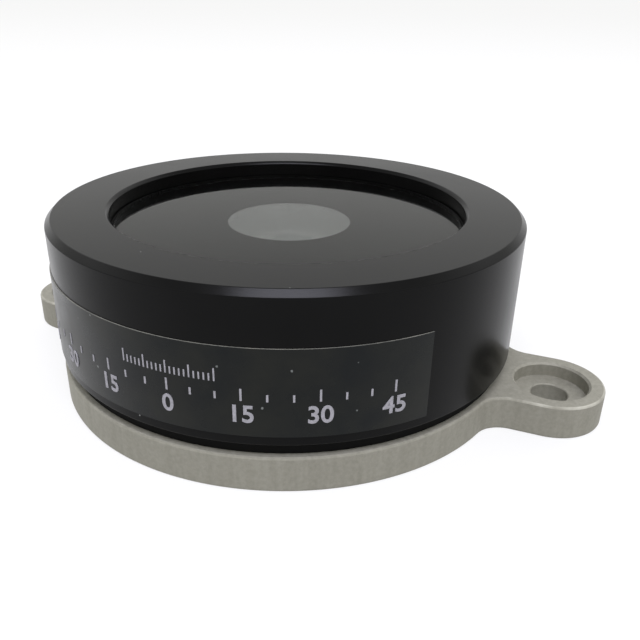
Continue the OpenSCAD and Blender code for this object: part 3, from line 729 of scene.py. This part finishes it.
hexagon = lathe("hexagon", [(flange_r, flange_y), (flange_r, flange_y + flange_t)], steps=6)
moved(hexagon, turn=30)
hexagon_round = lathe("hexagon_chamfer", [
    (flange_r - corner_w, flange_y), (flange_r, flange_y + corner_h),
    (flange_r, flange_y + flange_t - corner_h), (flange_r - corner_w, flange_y + flange_t)
], steps=96)
combine(hexagon, hexagon_round, "INTERSECT")
flange_bore = lathe("flange_bore", [
    (root_r - root_overlap, flange_y - overrun),
    (root_r - root_overlap, flange_y + flange_t + overrun)
], steps=96)
combine(hexagon, flange_bore, "DIFFERENCE")
combine(shell, hexagon, "UNION")

# The thread: a ridge with a wide foot and a narrow crest, wound up from beyond the flange
ridge_foot = 0.8
crest_share = 0.2
ridge_start = 0.6
turn_steps = 48
bpy.ops.object.select_all(action="DESELECT")
bpy.ops.mesh.primitive_plane_add(size=MM)
thread = bpy.context.object
turns = int((mouth_y - flange_y - flange_t) / pitch) - 1
bpy.ops.object.mode_set(mode="EDIT")
bpy.ops.mesh.select_all(action="SELECT")
bpy.ops.transform.resize(
    value=(thread_r - root_r + root_overlap, ridge_foot, 1), center_override=(0, 0, 0)
)
bpy.ops.object.mode_set(mode="OBJECT")
for corner in thread.data.vertices:
    if corner.co.x > 0:
        corner.co.y *= crest_share
moved(thread, lean=90)
moved(thread, x=(thread_r + root_r - root_overlap) / 2, z=flange_y + flange_t + ridge_start)
winding = thread.modifiers.new("winding", "SCREW")
winding.axis = "Z"
winding.screw_offset = pitch * MM
winding.iterations = turns
winding.steps = turn_steps
winding.render_steps = turn_steps
bpy.ops.object.modifier_apply(modifier=winding.name)
bpy.ops.object.mode_set(mode="EDIT")
bpy.ops.mesh.select_all(action="SELECT")
bpy.ops.mesh.remove_doubles(threshold=0.001 * MM)
bpy.ops.mesh.fill_holes(sides=0)
bpy.ops.mesh.normals_make_consistent(inside=False)
bpy.ops.object.mode_set(mode="OBJECT")
bpy.ops.object.select_all(action="DESELECT")
thread.select_set(True)
shell.select_set(True)
bpy.context.view_layer.objects.active = shell
bpy.ops.object.join()
moved(shell, z=connector_z, lean=-90)
# Nickel-plated brass: a warm light grey metal, smooth and fairly bright
nickel = grained(
    "nickel_plated_brass", ("#b3afa6", "#c2beb5"),
    grain=1.2, roughness=(0.2, 0.32), relief=0.004, metallic=1
)
seat(shell, nickel, "nickel_brass", "connector_shell")

# Connector insert: black moulded nylon that holds the pins inside the shell.
# Its front face has a raised collar and a keyway, so that the plug goes in one way only.
insert_low, insert_high = box_mm("connector_insert")
insert_r = insert_high[0]
collar_w = 0.45
collar_h = 0.3
key_w = 0.9
insert_edge = 0.06
insert = lathe("connector_insert_body", eased([
    (insert_r / 2, insert_low[1]), (insert_r, insert_low[1]), (insert_r, insert_high[1]),
    (insert_r - collar_w, insert_high[1]), (insert_r - collar_w, insert_high[1] - collar_h),
    (insert_r / 4, insert_high[1] - collar_h)
], insert_edge), steps=96)
moved(insert, z=connector_z, lean=-90)
combine(insert, slab(
    (-key_w / 2, insert_high[1] - key_w, connector_z - insert_r - key_w / 2),
    (key_w / 2, insert_high[1] + key_w, connector_z - insert_r + key_w / 2)
), "DIFFERENCE")
# Moulded nylon: black, half matt, with a very fine texture from the mould
nylon = grained(
    "moulded_black_nylon", ("#121213", "#1a1a1b"),
    grain=0.25, roughness=(0.45, 0.6), relief=0.01
)
seat(insert, nylon, "insert_black", "connector_insert")

# Connector pins: four turned brass contacts, gold plated, pressed into the insert.
# Each has a rounded tip outside and a solder cup for its wire inside.
pins_low, pins_high = box_mm("connector_pins")
pin_r = 0.5
cup_r = 0.7
cup_l = 1.5
cup_bore = 0.45
pin_circle_r = 2
# The rounded tip: shares of the pin's radius, how wide and how far below the end
tip_shares = [(0.87, 0.5), (0.5, 0.13), (0.2, 0)]
pin = lathe("pin_pattern", [
    (cup_bore, pins_low[1] + cup_l / 2), (cup_bore, pins_low[1]), (cup_r, pins_low[1]),
    (cup_r, pins_low[1] + cup_l), (pin_r, pins_low[1] + cup_l), (pin_r, pins_high[1] - pin_r)
] + [
    (wide * pin_r, pins_high[1] - below * pin_r) for wide, below in tip_shares
], steps=32)
# Gold plate: warm yellow metal, smooth and bright
gold = grained(
    "gold_plated_brass", ("#cfa850", "#dbb865"),
    grain=0.8, roughness=(0.18, 0.28), relief=0.003, metallic=1
)
for i in range(4):
    angle = math.radians(45 + 90 * i)
    copy = duplicate(pin, f"connector_pin_{i + 1}")
    pin_x = pin_circle_r * math.cos(angle)
    pin_z = connector_z + pin_circle_r * math.sin(angle)
    moved(copy, x=pin_x, z=pin_z, lean=-90)
    seat(copy, gold, "gold_pins", "connector_pins")
bpy.data.objects.remove(pin)

# Wires: four short stranded wires, soldered in the pins' cups at one end and crimped in the
# header on the lower board at the other.
# PVC insulation: soft red plastic with a dull sheen
pvc = grained(
    "red_pvc_insulation", ("#9c1a14", "#b3211a"),
    grain=0.6, roughness=(0.45, 0.6), relief=0.01
)
dress(pvc, "connector_wires")

# Circuit boards: two round glass-fibre boards, screwed one above the other inside the housing.
# The upper one carries the sensor, the lower one the processor and the power supply.


def woven_board(name, tones):
    """Solder resist, half matt, with the glass cloth faint under it in squares of 0.5 mm."""
    material, tree = blank_material(name)
    place = add_node(tree, "TexCoord").outputs["Object"]
    cloth = add_node(tree, "TexBrick", {
        "Vector": place, "Scale": 1 / (0.5 * MM), "Mortar Size": 0.08, "Mortar Smooth": 0.5,
        "Color1": linear(tones[0]), "Color2": linear(tones[1]), "Mortar": linear(tones[2]),
        "Brick Width": 1, "Row Height": 1
    }, offset=0.5)
    relief = add_node(tree, "Bump", {
        "Height": cloth.outputs["Fac"], "Strength": 0.2, "Distance": 0.01 * MM
    }).outputs[0]
    surface = add_node(tree, "BsdfPrincipled", {
        "Base Color": cloth.outputs["Color"], "Roughness": 0.35, "Normal": relief
    })
    add_node(tree, "OutputMaterial", {"Surface": surface.outputs[0]})
    return material


dress(woven_board("green_solder_resist", ("#12502b", "#16582f", "#0e4525")), "main_board")
dress(woven_board("white_solder_resist", ("#aeb0a9", "#b5b7b0", "#a5a7a0")), "sensor_board")

# Standoffs and spacers: hexagonal brass pillars that hold the boards apart, each with a
# threaded stud below. Board screws: small pan-head steel screws that clamp the stack.
# Turned brass: a warm yellow metal with fine lines round it
brass = grained(
    "turned_brass", ("#b2924a", "#c2a35a"),
    grain=0.3, roughness=(0.25, 0.4), relief=0.01, metallic=1, stretch=(0.2, 0.2, 1)
)
dress(brass, "board_standoffs", "board_spacers")
dress(steel, "board_screws")

# Chips: the processor, the transceiver, the amplifier and the voltage regulator, moulded in
# black epoxy and soldered to the boards by their leads, and the two surge diodes.
# Moulded epoxy: dark grey, matt, finely pitted
epoxy = grained(
    "moulded_black_epoxy", ("#1b1b1d", "#262628"),
    grain=0.2, roughness=(0.55, 0.75), relief=0.02
)
dress(epoxy, "surge_diodes", "resistors")
lead_reach = 1


def leaded_epoxy(node_name, reach_x, reach_y):
    """Epoxy over a chip's body, and the bright tin of its leads beyond the body's sides."""
    low, high = box_mm(node_name)
    material, tree = blank_material(f"tinned_and_moulded_{node_name}")
    place = add_node(tree, "TexCoord").outputs["Object"]
    centre = [(a + b) / 2 * MM for a, b in zip(low, high)]
    off = add_node(tree, "VectorMath", {0: place, 1: centre}, operation="SUBTRACT").outputs[0]
    off = add_node(tree, "VectorMath", {0: off}, operation="ABSOLUTE").outputs[0]
    off = add_node(tree, "SeparateXYZ", {0: off}).outputs
    past = [
        add_node(tree, "Math", {
            0: off[axis], 1: ((high[axis] - low[axis]) / 2 - reach) * MM
        }, operation="GREATER_THAN").outputs[0]
        for axis, reach in ((0, reach_x), (1, reach_y))
    ]
    tinned = add_node(tree, "Math", {0: past[0], 1: past[1]}, operation="MAXIMUM").outputs[0]
    pits = add_node(tree, "TexNoise", {"Vector": place, "Scale": 1 / (0.2 * MM)}).outputs[0]
    black = add_node(tree, "ValToRGB", {"Fac": pits}, [(0.35, "#1b1b1d"), (0.65, "#262628")])
    colour = add_node(tree, "Mix", {
        0: tinned, 6: black.outputs[0], 7: linear("#b9bab8")
    }, data_type="RGBA").outputs[2]
    gloss = add_node(tree, "MapRange", {"Value": tinned, "To Min": 0.65, "To Max": 0.3}).outputs[0]
    surface = add_node(tree, "BsdfPrincipled", {
        "Base Color": colour, "Metallic": tinned, "Roughness": gloss
    })
    add_node(tree, "OutputMaterial", {"Surface": surface.outputs[0]})
    dress(material, node_name)


leaded_epoxy("processor", lead_reach, lead_reach)
for chip in ("transceiver", "amplifier", "voltage_regulator"):
    leaded_epoxy(chip, lead_reach, -lead_reach)

# Small board parts: the crystal in its drawn can, and the ceramic capacitors, soldered flat
# on the lower board round the processor.
# Drawn nickel silver: a pale warm metal with a satin shine
can = grained(
    "drawn_nickel_silver", ("#bdbbb2", "#c8c6be"),
    grain=0.5, roughness=(0.25, 0.35), relief=0.006, metallic=1
)
dress(can, "crystal")
# Fired ceramic: matt tan with a slight speckle
tan_ceramic = grained(
    "fired_tan_ceramic", ("#8d7558", "#a38a6a"),
    grain=0.2, roughness=(0.6, 0.75), relief=0.01
)
dress(tan_ceramic, "capacitors")

# Plugs: the wire header and the link between the boards, moulded in natural nylon and
# soldered to the lower board.
# Natural nylon: creamy and half matt, with a faint mould texture
cream = grained(
    "moulded_natural_nylon", ("#d3ccb6", "#dcd6c3"),
    grain=0.5, roughness=(0.4, 0.55), relief=0.01
)
dress(cream, "wire_header", "board_link")

# Sensor: a round ceramic package with four photodiodes in its well, under a cover plate whose
# small hole lets a spot of sunlight through. It is bonded in the middle of the upper board.
# Fired alumina: clean white, matt, with the finest grain
alumina = grained(
    "fired_alumina", ("#e2e0da", "#eae8e3"),
    grain=0.3, roughness=(0.5, 0.65), relief=0.008
)
dress(alumina, "sensor_package")
# Polished silicon: blue grey and mirror smooth
silicon = grained(
    "polished_silicon", ("#20263a", "#2b3146"),
    grain=2, roughness=(0.08, 0.14), relief=0.001, metallic=0.3
)
dress(silicon, "photodiodes")
# Chromed glass: a pale frosted metal skin
chrome = grained(
    "frosted_chrome_on_glass", ("#a4a6a8", "#b4b6b8"),
    grain=2, roughness=(0.35, 0.45), relief=0.001, metallic=1
)
dress(chrome, "aperture_cover")

# Floor: a wide sheet of pale matt paper under the object, which keeps a soft shadow. It has a
# glow that only the camera, mirrors and glass see, so that it looks white without lighting
# the object from below.
bpy.ops.object.select_all(action="DESELECT")
bpy.ops.mesh.primitive_circle_add(vertices=96, radius=40, fill_type="NGON")
floor = bpy.context.object
floor.name = "floor"
paper, tree = blank_material("pale_paper")
rays = add_node(tree, "LightPath").outputs
seen = rays["Is Camera Ray"]
for kind in ("Is Glossy Ray", "Is Transmission Ray"):
    seen = add_node(tree, "Math", {0: seen, 1: rays[kind]}, operation="MAXIMUM").outputs[0]
glow = add_node(tree, "Math", {0: seen, 1: 0.6}, operation="MULTIPLY").outputs[0]
glow = add_node(tree, "Emission", {"Color": linear("#ffffff"), "Strength": glow}).outputs[0]
matt = add_node(tree, "BsdfDiffuse", {"Color": linear("#989898")}).outputs[0]
surface = add_node(tree, "AddShader", {0: glow, 1: matt}).outputs[0]
add_node(tree, "OutputMaterial", {"Surface": surface})
floor.data.materials.append(paper)

# Light: a soft sky all round, as in a studio tent, and one large cool softbox above the camera.
# The sky shows white at the horizon, is a little dimmer above it, brightest from 29 to 38
# degrees up and softer overhead. The stops are the sines of these heights.
world = bpy.data.worlds.new("soft_sky")
bpy.context.scene.world = world
world.use_nodes = True
tree = world.node_tree
tree.nodes.clear()
up = add_node(tree, "TexCoord").outputs["Generated"]
up = add_node(tree, "SeparateXYZ", {0: up}).outputs["Z"]
sky = add_node(tree, "ValToRGB", {"Fac": up}, [
    (0.14, "#cfcfcf"), (0.22, "#bbbbb9"), (0.38, "#c3c3c1"), (0.48, "#ffffff"), (0.62, "#ffffff"),
    (0.75, "#bebebc")
]).outputs[0]
sky = add_node(tree, "Background", {"Color": sky, "Strength": 1.6}).outputs[0]
add_node(tree, "OutputWorld", {"Surface": sky})


def softbox(name, azimuth, elevation, distance, width, depth, power, colour):
    """A large area lamp that faces the object from an angle."""
    turn, lift = math.radians(azimuth), math.radians(elevation)
    bpy.ops.object.light_add(type="AREA", location=(
        distance * math.sin(turn) * math.cos(lift),
        -distance * math.cos(turn) * math.cos(lift),
        distance * math.sin(lift)
    ))
    lamp = bpy.context.object
    lamp.name = name
    lamp.data.shape = "RECTANGLE"
    lamp.data.size, lamp.data.size_y = width, depth
    lamp.data.energy = power
    lamp.data.color = linear(colour)[:3]
    lamp.rotation_euler = (math.pi / 2 - lift, 0, turn)


softbox(
    "front_softbox", azimuth=24, elevation=65, distance=1, width=0.6, depth=0.2, power=7,
    colour="#f0f0ff"
)

# Camera: at the photograph's angle, with its turn, tilt and slight roll. Its place and lens
# come from a camera fitted to the photograph's outlines.
turn, tilt, roll = math.radians(21.31), math.radians(25.49), math.radians(1.146)
bpy.ops.object.camera_add(location=(0.0359, -0.08018, 0.04764))
camera = bpy.context.object
camera.rotation_euler = (
    Matrix.Rotation(turn, 3, "Z") @ Matrix.Rotation(math.pi / 2 - tilt, 3, "X")
    @ Matrix.Rotation(roll, 3, "Z")
).to_euler()
camera.data.lens = 38.91
camera.data.sensor_width = 36
camera.data.clip_start = 0.002
bpy.context.scene.camera = camera
bpy.context.scene.view_settings.view_transform = "Standard"
